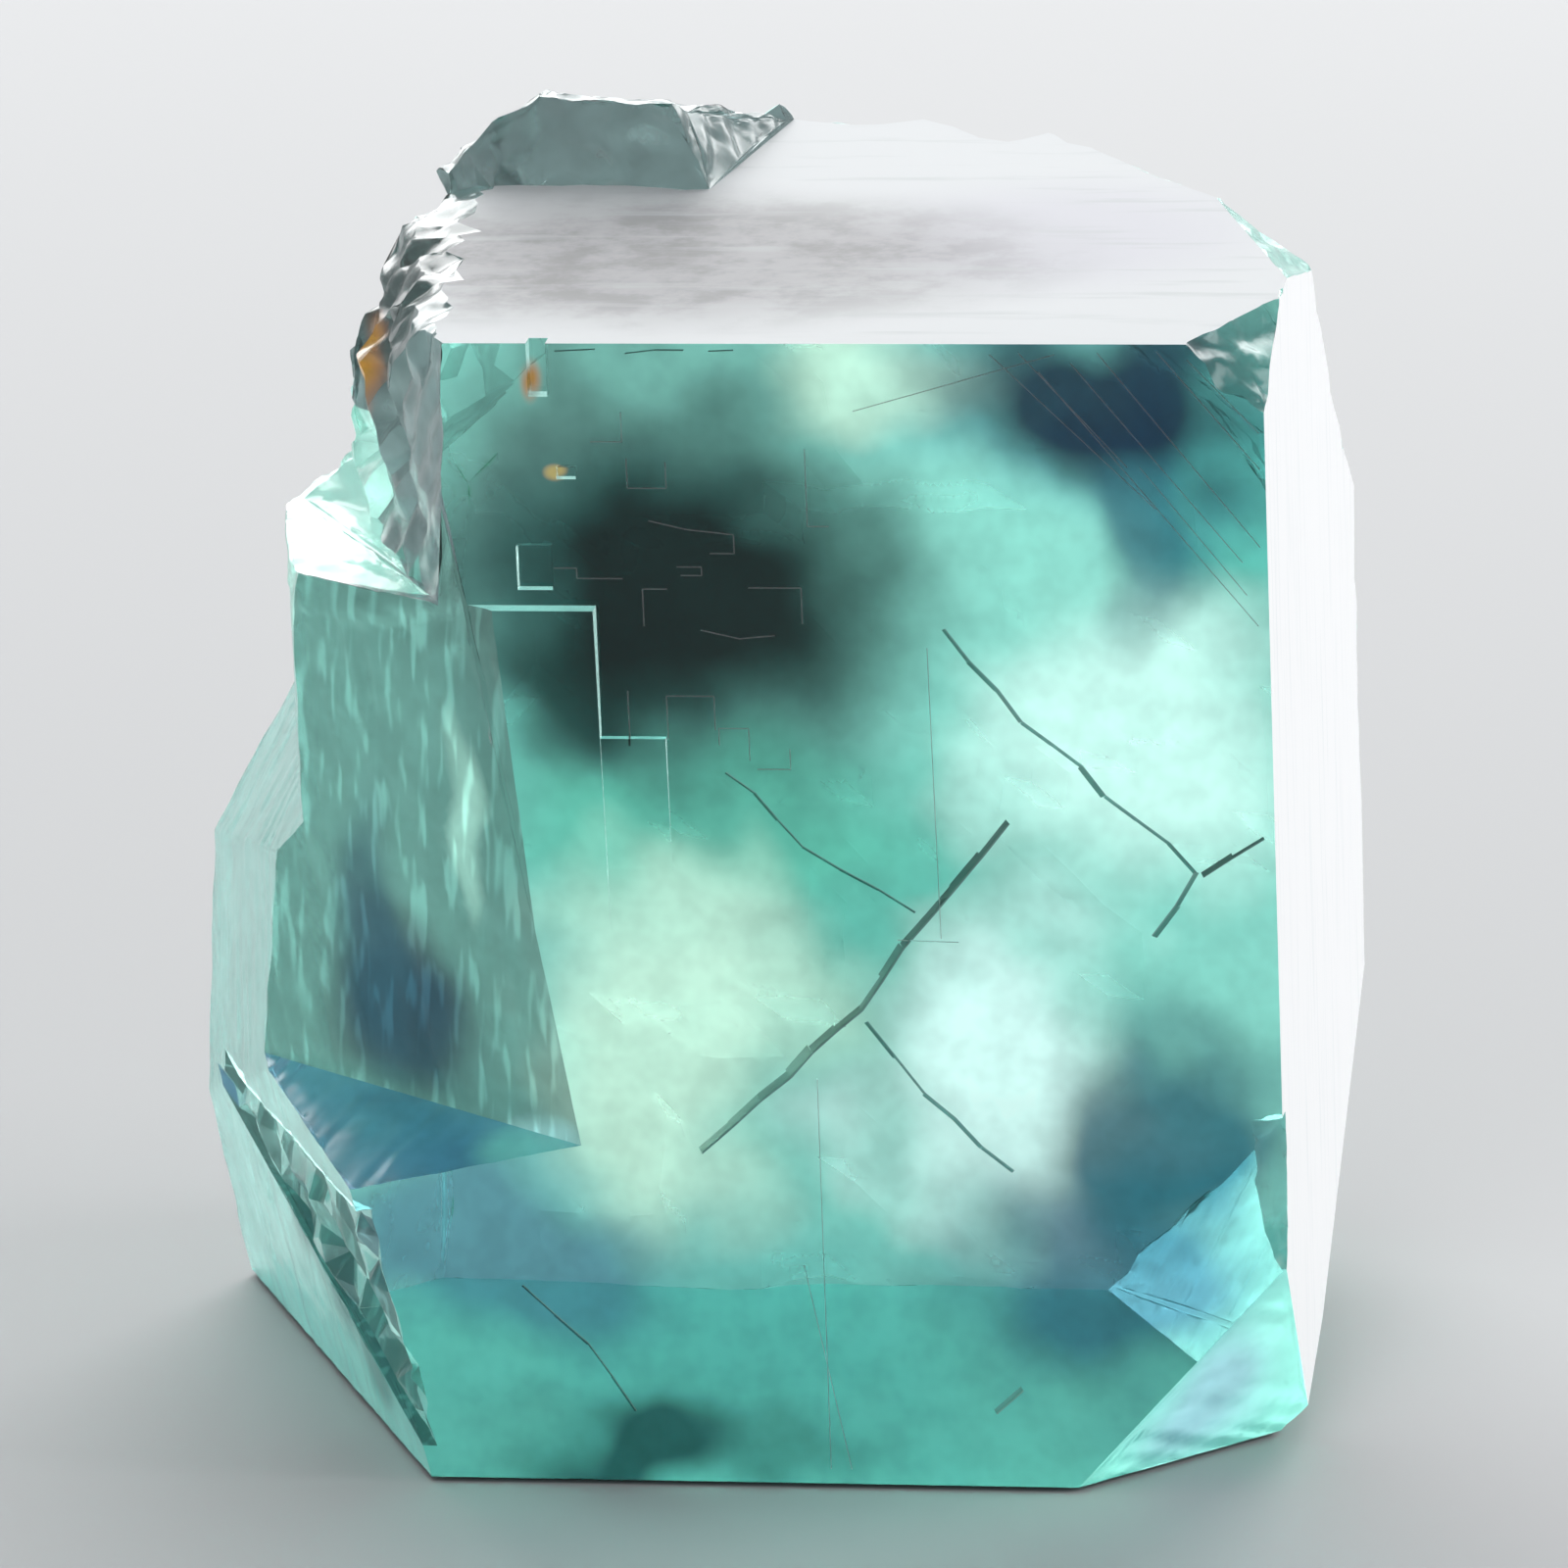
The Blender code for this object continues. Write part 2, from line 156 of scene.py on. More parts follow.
# Cleavage cracks that reach the front face: the line across the face as x, z in millimetres, how wide
# they gape, how deep they run in and how far they lean from the face's normal, in degrees
CRACKS = (
    (((0.8, 20.2), (6.1, 24.9), (10.4, 28.9), (14.3, 34.4), (16.0, 36.0), (19.2, 40.1)), 0.08, 0.8, 40.0),
    (((16.0, 51.6), (20.2, 46.2), (24.8, 41.9), (29.7, 37.3)), 0.06, 0.6, -40.0),
    (((29.8, 37.2), (27.1, 33.5)), 0.06, 0.6, 40.0),
    (((30.1, 37.0), (33.6, 39.3)), 0.05, 0.5, 40.0),
    (((3.4, 43.2), (7.5, 38.8), (13.7, 34.8)), 0.04, 0.35, -40.0),
    (((10.7, 28.2), (13.9, 24.0), (18.8, 19.3)), 0.06, 0.5, -40.0),
    (((-9.8, 12.0), (-6.2, 8.4), (-3.6, 4.3)), 0.04, 0.35, -40.0),
    (((17.2, 4.6), (18.9, 5.9)), 0.05, 0.5, 40.0),
    (((-5.5, 67.65), (-3.2, 67.75)), 0.05, 0.4, 0.0),
    (((-1.5, 67.6), (1.8, 67.7)), 0.05, 0.4, 0.0),
    (((3.2, 67.7), (4.6, 67.7)), 0.05, 0.4, 0.0),
)

CRACK_STRIDE = 2.2
CRACK_SWAY = 0.5

# Fine scratches: both ends as x, z in millimetres
SCRATCHES = (
    ((21.7, 66.5), (33.6, 51.8)),
    ((23.5, 67.0), (32.8, 55.5)),
    ((25.0, 67.6), (33.8, 56.4)),
    ((28.3, 67.7), (33.9, 60.9)),
    ((19.0, 67.5), (28.0, 58.6)),
    ((20.6, 67.6), (26.5, 61.0)),
    ((30.0, 67.2), (33.9, 63.0)),
    ((27.2, 61.0), (33.0, 53.6)),
    ((11.2, 64.2), (22.6, 67.5)),
    ((7.7, 24.7), (7.6, 0.9)),
    ((6.5, 13.4), (8.8, 0.9)),
    ((14.9, 50.4), (15.1, 33.2)),
    ((12.6, 33.1), (16.1, 33.0)),
)
SCRATCH_WIDTH = 0.06
SCRATCH_DEPTH = 0.12

# Square growth lines on the front face: the corners of each as x, z in millimetres
GROWTH_LINES = (
    ((0.0, 44.9), (0.0, 47.5), (2.7, 47.5), (2.7, 45.5)),
    ((2.9, 44.6), (2.9, 45.6), (4.6, 45.6), (4.6, 43.7)),
    ((-1.7, 61.4), (-1.7, 59.7), (0.5, 59.7), (0.5, 61.2)),
    ((0.9, 55.1), (2.3, 55.1), (2.3, 54.6), (1.1, 54.6)),
    ((-0.6, 57.8), (1.5, 57.3), (4.2, 57.0), (4.2, 55.9), (2.8, 55.9)),
    ((2.1, 51.4), (4.3, 50.9), (6.3, 51.1)),
    ((-1.9, 64.1), (-1.9, 62.4), (-3.7, 62.4)),
    ((-1.1, 51.6), (-1.1, 53.8), (0.3, 53.8)),
    ((4.9, 53.9), (7.9, 53.9), (7.9, 51.8)),
    ((-2.2, 47.8), (-2.2, 44.6)),
    ((5.0, 43.2), (6.9, 43.2), (6.9, 44.4)),
    ((-6.1, 55.0), (-4.8, 55.0), (-4.8, 54.4), (-2.2, 54.4)),
    ((8.4, 62.0), (8.4, 57.5), (9.6, 57.5)),
)
GROWTH_LINE_WIDTH = 0.07

# A cloud has its full strength inside this share of its radii
CLOUD_HEART = 0.3

# The share of the light that the crystal lets out where no cloud lies
BODY_SHARE = (0.34, 0.66, 0.60)

# The colour of each kind of face on the left, as a share of the light, and how far it covers the clouds
FACET_COLOURS = {
    FIBROUS_FACET: ((0.105, 0.16, 0.15), 0.86),
    WEDGE_FLOOR: ((0.17, 0.25, 0.42), 0.9),
    GREY_BREAK: ((0.19, 0.18, 0.20), 0.95),
    SHOULDER: ((0.60, 0.78, 0.72), 0.85),
    PALE_FACET: ((0.52, 0.64, 0.63), 0.85),
    CRUSHED_BAND: ((0.10, 0.12, 0.13), 0.92),
    # Dark grey-teal on the crack walls: painted shade, for the dark look of the cracks
    CRACK_WALL: ((0.20, 0.36, 0.34), 0.95),
    # Nearly clear on the risers of the growth steps: a painted highlight, so that they show as bright
    # lines over the dark clouds
    LEDGE: ((0.95, 1.0, 1.0), 0.9),
}

# Marks that lie over the facets' own colours: centre and radii in millimetres, colour, strength
FACET_MARKS = (
    ((-17.0, -17.5, 26.0), (8.5, 11.0, 8.0), (0.012, 0.055, 0.09), 0.95),
    ((-19.0, -17.5, 31.0), (3.4, 8.0, 12.0), (0.03, 0.09, 0.13), 0.8),
    ((-12.0, -22.8, 39.0), (1.2, 3.0, 8.5), (0.42, 0.58, 0.52), 0.85),
    ((-9.5, -24.0, 20.2), (5.5, 2.6, 2.0), (0.42, 0.60, 0.62), 0.85),
    ((-17.0, -6.0, 66.0), (9.0, 20.0, 9.0), (0.06, 0.065, 0.065), 0.92),
    ((-25.5, -9.5, 10.5), (4.6, 4.6, 4.6), (0.10, 0.14, 0.15), 0.85),
    ((-22.6, -14.0, 7.0), (4.4, 4.6, 4.6), (0.10, 0.14, 0.15), 0.85),
    ((-19.5, -18.5, 4.5), (4.2, 4.6, 4.4), (0.12, 0.17, 0.18), 0.85),
    ((29.5, -22.0, 4.5), (7.0, 6.0, 9.0), (0.32, 0.42, 0.50), 0.95),
    ((-20.0, -7.5, 62.2), (1.8, 4.5, 3.6), (0.60, 0.22, 0.03), 1.0),
)

# Rusty stains at the front: centre and radii in millimetres, colour, strength
FRONT_STAINS = (
    ((-7.0, -24.3, 65.8), (0.75, 1.6, 1.5), (0.42, 0.16, 0.03), 1.0),
    ((-5.8, -24.6, 60.6), (0.8, 1.2, 0.6), (0.55, 0.32, 0.12), 0.9),
)

# How far a satin skin covers each kind of face
FROST = {
    TOP_FACE: 1.0,
    RIGHT_FACE: 1.0,
    UNDERSIDE: 1.0,
    # The fine lines get near-white satin: in the growth lines a painted highlight of their step edges, in
    # the scratches their own frosted white
    FINE_LINE: 0.5,
    CRACK_WALL: 0.65,
}

# How far the clouds and the marks are bent out of shape, in millimetres, and how finely
SWAY_SCALE = 0.07
CLOUD_SWAY = 16.0
# How far the painted shade on the top is bent out of shape
PAINTED_SHADE_SWAY = 5.0
MARK_FRAY_SCALE = 0.22
MARK_FRAY = 1.3

# The fine grain in the clear crystal, and how much paler the fibres on the streaky facets are
GRAIN_LOW = 0.82
GRAIN_RISE = 0.34
FIBRE_RISE = 1.6
FACET_ROUGHNESS = 0.25
REAR_ROUGHNESS = 1.0

# The satin skin: its sheen, and its colours on each face
SATIN_ROUGHNESS = 0.5
SATIN_SHINE = 0.15
# Near-white satin: a frosted skin, whose white on the right face is partly a painted reflection of the
# light
SATIN_WHITE_AND_SHEEN = (0.86, 0.865, 0.87, 1.0)
RIGHT_GROOVES = (0.70, 0.74, 0.75)
TOP_GREY = (0.42, 0.44, 0.45)
TOP_LILAC = (0.34, 0.33, 0.39)
# Dark grey painted shade on the top
TOP_PAINTED_SHADE = (0.14, 0.135, 0.145)
TOP_MOTTLE = (0.06, 0.06, 0.06)
TOP_STREAKS = (0.30, 0.32, 0.33)
UNDERSIDE_TEAL = (0.34, 0.66, 0.64)
# Dark grey satin in the cracks: painted shade
CRACK_PAINTED_SHADE = (0.24, 0.34, 0.33)
# Where the painted shade lies on the top: centre and radii in millimetres, strength
PAINTED_SHADE_PLACE = ((-2.0, -7.0, TOP_Z), (28.0, 18.0, 30.0), 1.0)
LILAC_PLACE = ((20.0, -2.0, TOP_Z), (16.0, 16.0, 30.0), 0.5)

# The studio: a plain floor just under the crystal, and soft boxes by place, width, height and power
FLOOR_COLOUR = (0.40, 0.405, 0.41, 1.0)
FLOOR_ROUGHNESS = 0.8
FLOOR_RADIUS = 4.0
FLOOR_SEGMENTS = 96
FLOOR_DROP = 0.0003
LIGHT_AIM = Vector((0.0, 0.0, 0.03))
SOFTBOXES = (
    ("back_softbox", (-0.1, 1.2, 0.65), 1.8, 1.0, 32.0),
    ("top_softbox", (0.1, 0.0, 1.2), 0.8, 0.8, 1.6),
    ("right_softbox", (1.1, 0.1, 0.5), 0.6, 0.8, 8.0),
)
SKY_COLOUR = (0.95, 0.97, 1.0, 1.0)
SKY_STRENGTH = 0.45
LIGHT_BOUNCES = 8


# Sockets of the Mix node for colours, and the output of the Attribute node that holds one number
MIX_SHARE = 0
MIX_FIRST = 6
MIX_SECOND = 7
MIX_RESULT = 2
ATTRIBUTE_NUMBER = 2


class Value:
    """A socket of a material, with arithmetic that adds the nodes for it."""

    def __init__(self, tree, socket):
        self.tree = tree
        self.socket = socket

    def node(self, kind, settings=None, inputs=None, output=0):
        made = self.tree.nodes.new(kind)
        for name, value in (settings or {}).items():
            setattr(made, name, value)
        for name, value in (inputs or {}).items():
            if isinstance(value, Value):
                self.tree.links.new(value.socket, made.inputs[name])
            else:
                made.inputs[name].default_value = value
        return Value(self.tree, made.outputs[output])

    def maths(self, operation, other):
        return self.node("ShaderNodeMath", {"operation": operation}, {0: self, 1: other})

    def vector(self, operation, other, output=0):
        return self.node("ShaderNodeVectorMath", {"operation": operation}, {0: self, 1: other}, output)

    def swapped(self, operation, other):
        return self.node("ShaderNodeMath", {"operation": operation}, {0: other, 1: self})

    def __add__(self, other):
        return self.maths("ADD", other)

    def __radd__(self, other):
        return self.maths("ADD", other)

    def __sub__(self, other):
        return self.maths("SUBTRACT", other)

    def __rsub__(self, other):
        return self.swapped("SUBTRACT", other)

    def __mul__(self, other):
        return self.maths("MULTIPLY", other)

    def __rmul__(self, other):
        return self.maths("MULTIPLY", other)

    def above(self, low, high):
        """0 below low, 1 above high, and smooth between them."""
        return self.node(
            "ShaderNodeMapRange",
            {"interpolation_type": "SMOOTHERSTEP"},
            {"Value": self, "From Min": low, "From Max": high},
        )

    def blended(self, other, share):
        """This colour, turned into the other one by share."""
        if isinstance(other, tuple):
            other = (*other, 1.0)
        return self.node(
            "ShaderNodeMix",
            {"data_type": "RGBA", "clamp_factor": True},
            {MIX_SHARE: share, MIX_FIRST: self, MIX_SECOND: other},
            MIX_RESULT,
        )


def new_material(name):
    material = bpy.data.materials.new(name)
    material.use_nodes = True
    material.node_tree.nodes.clear()
    return material


def object_point(tree):
    """The place on the piece in millimetres of the frame."""
    made = tree.nodes.new("ShaderNodeTexCoord")
    return Value(tree, made.outputs["Object"]).vector("MULTIPLY", (1000.0, 1000.0, 1000.0))


def speckle(point, scale, detail=3.0, roughness=0.55, stretch=(1, 1, 1), turn=(0, 0, 0), output=0):
    """Noise from 0 to 1 with features about 1 / scale millimetres across."""
    placed = point
    if any(turn):
        placed = point.node("ShaderNodeMapping", {}, {"Vector": point, "Rotation": turn})
    squeezed = placed.vector("MULTIPLY", tuple(stretch))
    return squeezed.node(
        "ShaderNodeTexNoise",
        {},
        {"Vector": squeezed, "Scale": scale, "Detail": detail, "Roughness": roughness},
        output,
    )


def cloud(point, centre, radii, strength):
    """strength inside a soft ellipsoid, 0 outside it."""
    squeezed = point.vector("DIVIDE", tuple(radii))
    middle = tuple(place / radius for place, radius in zip(centre, radii))
    away = squeezed.vector("DISTANCE", middle, output=1)
    return away.node(
        "ShaderNodeMapRange",
        {"interpolation_type": "SMOOTHSTEP"},
        {"Value": away, "From Min": 1.0, "From Max": CLOUD_HEART, "To Max": strength},
    )


def let_out(share):
    """The base colour that lets out this share of the light: each surface takes its root."""
    return tuple(part * part for part in share)


def crystal_mesh():
    """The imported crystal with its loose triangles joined."""
    bm = bmesh.new()
    bm.from_mesh(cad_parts[NODE].data)
    bmesh.ops.remove_doubles(bm, verts=bm.verts, dist=WELD_DISTANCE)
    bmesh.ops.scale(bm, vec=(1 / MM, 1 / MM, 1 / MM), verts=bm.verts)
    bmesh.ops.recalc_face_normals(bm, faces=bm.faces)
    return bm


def kind_of(face):
    """Which whole face, facet or break of the crystal this face belongs to."""
    normal, middle = face.normal, face.calc_center_median()
    corners = [vert.co for vert in face.verts]
    if normal.y < -FRONT_LEVEL and all(abs(c.y - FRONT_Y) < FRONT_RELIEF for c in corners):
        return GROWTH_FACE
    if normal.z > LEVEL and all(abs(c.z - TOP_Z) < PLANE_REACH for c in corners):
        return TOP_FACE
    if normal.x > LEVEL and all(abs(c.x - RIGHT_X) < PLANE_REACH for c in corners):
        return RIGHT_FACE
    if normal.z < -LEVEL and all(abs(c.z) < PLANE_REACH for c in corners):
        return UNDERSIDE
    near_front = middle.y < FRONT_Y + LEDGE_REACH and LEDGES_LEFT < middle.x < LEDGES_RIGHT
    if near_front and abs(normal.y) < SIDEWAYS:
        return LEDGE if middle.z > LEDGES_FOOT else BROKEN
    if middle.x > CORNERS_LEFT and normal.y < SIDEWAYS:
        return CORNER_FACET
    if normal.y > REARWARD or middle.x > CORNERS_LEFT:
        return BROKEN
    if FIBROUS_FOOT < middle.z < SHOULDER_Z + 3.0 and normal.dot(FIBROUS_NORMAL) > 0.9:
        return FIBROUS_FACET
    if WEDGE_LOW < middle.z < WEDGE_HIGH and normal.z > 0.55:
        return WEDGE_FLOOR
    even_side = normal.dot(LEANING_NORMAL) >= 0.985 or normal.dot(LEFT_NORMAL) >= 0.95
    if middle.z < CRUSHED_TOP and not even_side:
        return CRUSHED_BAND
    if middle.z > SHOULDER_Z + 8.0 or (middle.z > SHOULDER_Z and middle.x > SHOULDER_RIGHT):
        return GREY_BREAK
    if middle.z > SHOULDER_Z - 5.0:
        return SHOULDER
    return PALE_FACET


def mark_faces(bm):
    kind = bm.faces.layers.float.new("kind")
    bm.normal_update()
    for face in bm.faces:
        face[kind] = kind_of(face)
    return kind


def is_broken(face, kind):
    return face[kind] not in EVEN_FACES


# How wide the wedge of a crack is at its tip and outside its mouth, as shares of its gape
SLAB_TIP = 0.3
SLAB_MOUTH = 1.7


def slab(bm, kind, start, end, width, depth, lean, number):
    """Adds a thin wedge that enters the front face along a line from start to end."""
    made = bmesh.ops.create_cube(bm, size=1.0)["verts"]
    run = Vector((end[0] - start[0], 0.0, end[1] - start[1]))
    for vert in made:
        vert.co.z *= width * (SLAB_TIP if vert.co.y > 0 else SLAB_MOUTH)
        vert.co.y *= 2 * depth
        vert.co.x *= run.length
    turn = Matrix.Rotation(-math.atan2(run.z, run.x), 4, "Y")
    tilt = Matrix.Rotation(math.radians(lean), 4, "X")
    middle = Vector(((start[0] + end[0]) / 2, FRONT_Y, (start[1] + end[1]) / 2))
    bmesh.ops.transform(bm, matrix=Matrix.Translation(middle) @ turn @ tilt, verts=made)
    for face in {face for vert in made for face in vert.link_faces}:
        face[kind] = number


def jagged(line, stride, sway):
    """The line in short stretches that step a little to either side."""
    points = []
    for (x0, z0), (x1, z1) in zip(line, line[1:]):
        length = math.hypot(x1 - x0, z1 - z0)
        count = max(1, round(length / stride))
        for step in range(count):
            share = step / count
            x, z = x0 + (x1 - x0) * share, z0 + (z1 - z0) * share
            off = sway * noise.noise(Vector((x * 1.3, z * 1.3, 4.0)))
            points.append((x - off * (z1 - z0) / length, z + off * (x1 - x0) / length))
    return points + [line[-1]]


def face_cuts():
    """The tools for the cracks, the scratches and the growth lines."""
    cracks, kind = started_bmesh()
    for line, width, depth, lean in CRACKS:
        points = jagged(line, CRACK_STRIDE, CRACK_SWAY)
        for index, (start, end) in enumerate(zip(points, points[1:])):
            deep = depth * (0.7 + 0.5 * noise.noise(Vector((index * 0.9, depth * 7.0, 2.0))))
            slab(cracks, kind, start, end, width, deep, lean, CRACK_WALL)
    yield cracks
    marks, kind = started_bmesh()
    for start, end in SCRATCHES:
        slab(marks, kind, start, end, SCRATCH_WIDTH, SCRATCH_DEPTH, 0.0, FINE_LINE)
    yield marks
    lines, kind = started_bmesh()
    for corners in GROWTH_LINES:
        for start, end in zip(corners, corners[1:]):
            slab(lines, kind, start, end, GROWTH_LINE_WIDTH, SCRATCH_DEPTH, 0.0, FINE_LINE)
    yield lines


def started_bmesh():
    bm = bmesh.new()
    return bm, bm.faces.layers.float.new("kind")


def loose_object(name, bm):
    mesh = bpy.data.meshes.new(name)
    bm.to_mesh(mesh)
    bm.free()
    made = bpy.data.objects.new(name, mesh)
    bpy.context.scene.collection.objects.link(made)
    return made


def cut_away(bm, tools):
    """The bmesh after every tool has been taken out of it."""
    body = loose_object("uncut", bm)
    for tool in tools:
        cutter = loose_object("cutter", tool)
        modifier = body.modifiers.new("cut", "BOOLEAN")
        modifier.operation = "DIFFERENCE"
        modifier.use_self = True
        modifier.object = cutter
        graph = bpy.context.evaluated_depsgraph_get()
        mesh = bpy.data.meshes.new_from_object(body.evaluated_get(graph))
        body.modifiers.remove(modifier)
        body.data = mesh
        bpy.data.objects.remove(cutter)
    result = bmesh.new()
    result.from_mesh(body.data)
    bpy.data.objects.remove(body)
    return result, result.faces.layers.float["kind"]


def is_sliver(face):
    """True for a triangle too thin to be split without folding over."""
    longest = max(edge.calc_length() for edge in face.edges)
    return face.calc_area() < SLIVER_SHARE * longest * longest


def refine_breaks(bm, kind, longest):
    """Splits the triangles of the broken sides until their edges are short."""
    bmesh.ops.triangulate(bm, faces=bm.faces)
    for _ in range(HALVINGS):
        long_edges = [
            edge
            for edge in bm.edges
            if edge.calc_length() > longest
            and any(is_broken(face, kind) for face in edge.link_faces)
            and not any(is_sliver(face) for face in edge.link_faces)
        ]
        if not long_edges:
            break
        bmesh.ops.subdivide_edges(bm, edges=long_edges, cuts=1)
        many_sided = [face for face in bm.faces if len(face.verts) > 3]
        bmesh.ops.triangulate(bm, faces=many_sided)


def smooth_step(t):
    t = min(1.0, max(0.0, t))
    return t * t * (3 - 2 * t)


def break_relief(place, normal):
    """How far a point of a broken side stands out, in millimetres."""
    rough = noise.fractal(place / WAVE_SIZE, 0.9, 2.1, 4) * WAVE_HEIGHT
    if normal.y > SIDEWAYS:
        ledge = noise.noise(place / LEDGE_SIZE + Vector((4.1, 0, 0))) * 2.4
        riser = smooth_step((ledge % 1.0 - 0.4) * 5.0)
        return rough * 0.6 + LEDGE_HEIGHT * (math.floor(ledge) + riser)
    if place.z > SHOULDER_Z:
        reach = (place - ARC_CENTRE).length
        arc = math.sin(reach * ARCS_PER_MM + 2.0 * noise.noise(place / 5.0))
        return rough * 0.8 + ARC_HEIGHT * arc
    along = place.dot(FIBRE_ACROSS)
    bend = place * FIBRE_BEND
    fibre = noise.noise(Vector((along * FIBRE_FINENESS, bend.z, bend.y)))
    return FIBRE_HEIGHT * fibre + 0.35 * rough


def roughen_breaks(bm, kind):
    """Moves the points of the broken sides. A point on a whole face stays in its plane."""
    moves = []
    for vert in bm.verts:
        if not any(is_broken(face, kind) for face in vert.link_faces):
            continue
        move = vert.normal * break_relief(vert.co, vert.normal)
        for face in vert.link_faces:
            if not is_broken(face, kind):
                move = move - face.normal * move.dot(face.normal)
        moves.append((vert, move))
    for vert, move in moves:
        vert.co += move


def shade(bm, kind):
    """Whole faces are flat; breaks are smooth but for their sharper edges."""
    bm.normal_update()
    for face in bm.faces:
        face.smooth = is_broken(face, kind)
    for edge in bm.edges:
        soft = all(is_broken(face, kind) for face in edge.link_faces)
        edge.smooth = soft and edge.calc_face_angle(0.0) < SHARP_BREAK


def facet_colour(number, place):
    """The colour laid over the clouds at a place on a facet, and how far it covers them."""
    share, cover = FACET_COLOURS.get(number, (BODY_SHARE, 0.0))
    if number in EVEN_FACES:
        return (*let_out(share), cover)
    laid = Vector(let_out(share)) * cover
    frayed = place + noise.noise_vector(place * MARK_FRAY_SCALE) * MARK_FRAY
    for centre, radii, tint, strength in FACET_MARKS:
        away = math.sqrt(sum(((a - b) / r) ** 2 for a, b, r in zip(frayed, centre, radii)))
        near = strength * smooth_step((1.0 - away) / (1.0 - CLOUD_HEART))
        laid = laid.lerp(Vector(let_out(tint)), near)
        cover += (1.0 - cover) * near
    return (*(laid / max(cover, 0.001)), cover)


def paint_facets(bm, kind):
    """Stores the facets' colours at their corners, and the frost of every face."""
    paint = bm.loops.layers.float_color.new("paint")
    frost = bm.faces.layers.float.new("frost")
    known = {}
    for face in bm.faces:
        number = face[kind]
        face[frost] = FROST.get(number, 0.0)
        if number == BROKEN:
            continue
        for loop in face.loops:
            corner = (loop.vert, number)
            if corner not in known:
                known[corner] = facet_colour(number, loop.vert.co)
            loop[paint] = known[corner]


def finished_piece(name, bm, material):
    mesh = bpy.data.meshes.new(name)
    bm.to_mesh(mesh)
    bm.free()
    piece = bpy.data.objects.new(name, mesh)
    bpy.context.scene.collection.objects.link(piece)
    mesh.materials.append(material)
    return piece


def is_kind(kind, number):
    return kind.node("ShaderNodeMath", {"operation": "COMPARE"}, {0: kind, 1: number, 2: 0.1})


def clear_surface(tree):
    """A surface that lets light into the crystal and out of it."""
    clear = tree.nodes.new("ShaderNodeBsdfPrincipled")
    clear.inputs["IOR"].default_value = FLUORITE_IOR
    clear.inputs["Transmission Weight"].default_value = 1.0
    return clear


def clear_colour(point, kind, sway):
    """The crystal's colour: clouds, then the facets' colours (painted shade on the crack walls, a painted
    highlight on the step risers), stains and a fine grain.
    """
    tree = point.tree
    warped = point.vector("ADD", sway.vector("MULTIPLY", (CLOUD_SWAY,) * 3))
    colour = point.node("ShaderNodeRGB")
    colour.socket.default_value = (*let_out(BODY_SHARE), 1.0)
    for centre, radii, share, strength in COLOUR_CLOUDS:
        colour = colour.blended(let_out(share), cloud(warped, centre, radii, strength))
    paint = point.node("ShaderNodeAttribute", {"attribute_name": "paint"})
    cover = Value(tree, paint.socket.node.outputs["Alpha"])
    colour = colour.blended(paint, cover)
    for centre, radii, share, strength in FRONT_STAINS:
        colour = colour.blended(let_out(share), cloud(point, centre, radii, strength))
    is_streaky = is_kind(kind, FIBROUS_FACET) + is_kind(kind, CRUSHED_BAND)
    fibre = speckle(point, 1.1, 1.0, 0.65, stretch=(1.0, 1.0, 0.09), turn=(0.0, -0.16, 0.0))
    grain = speckle(point, 0.4, 2.0, 0.7).above(0.2, 0.8) * GRAIN_RISE + GRAIN_LOW
    grain = grain + is_streaky * fibre.above(0.5, 0.72) * FIBRE_RISE
    grey = grain.node("ShaderNodeCombineColor", {}, {0: grain, 1: grain, 2: grain})
    return colour.vector("MULTIPLY", grey)


def satin_colour(point, kind, sway):
    """The satin skin's colour on the top, the right face, the underside and the cracks."""
    is_top = is_kind(kind, TOP_FACE)
    frayed = point.vector("ADD", sway.vector("MULTIPLY", (PAINTED_SHADE_SWAY,) * 3))
    # Mask of the painted shade on the top
    painted_shade = is_top * cloud(frayed, *PAINTED_SHADE_PLACE)
    mottle = speckle(point, 0.16, 5.0, 0.68).above(0.36, 0.66)
    streak = speckle(point, 0.5, 3.0, 0.6, stretch=(0.12, 1.0, 1.0)).above(0.52, 0.72)
    grooves = speckle(point, 1.2, 3.0, 0.7, stretch=(1.0, 1.0, 0.04)).above(0.5, 0.7)
    satin_tone = point.node("ShaderNodeRGB")
    # Near-white to start with: on the right face partly a painted reflection of the light
    satin_tone.socket.default_value = SATIN_WHITE_AND_SHEEN
    satin_tone = satin_tone.blended(TOP_GREY, is_top)
    satin_tone = satin_tone.blended(TOP_LILAC, is_top * cloud(point, *LILAC_PLACE))
    # Painted shade on the top, with a darker mottle inside it
    satin_tone = satin_tone.blended(TOP_PAINTED_SHADE, painted_shade * 0.7)
    satin_tone = satin_tone.blended(TOP_MOTTLE, painted_shade * mottle * 0.6)
    satin_tone = satin_tone.blended(TOP_STREAKS, is_top * streak * 0.5)
    satin_tone = satin_tone.blended(UNDERSIDE_TEAL, is_kind(kind, UNDERSIDE))
    satin_tone = satin_tone.blended(RIGHT_GROOVES, is_kind(kind, RIGHT_FACE) * grooves * 0.5)
    # Painted shade: the satin in the cracks is dark grey
    return satin_tone.blended(CRACK_PAINTED_SHADE, is_kind(kind, CRACK_WALL))


def mixed_surface(tree, share, first, second):
    """The first surface, turned into the second by share."""
    mixed = tree.nodes.new("ShaderNodeMixShader")
    tree.links.new(share.socket, mixed.inputs[0])
    tree.links.new(first.outputs[0], mixed.inputs[1])
    tree.links.new(second.outputs[0], mixed.inputs[2])
    return mixed


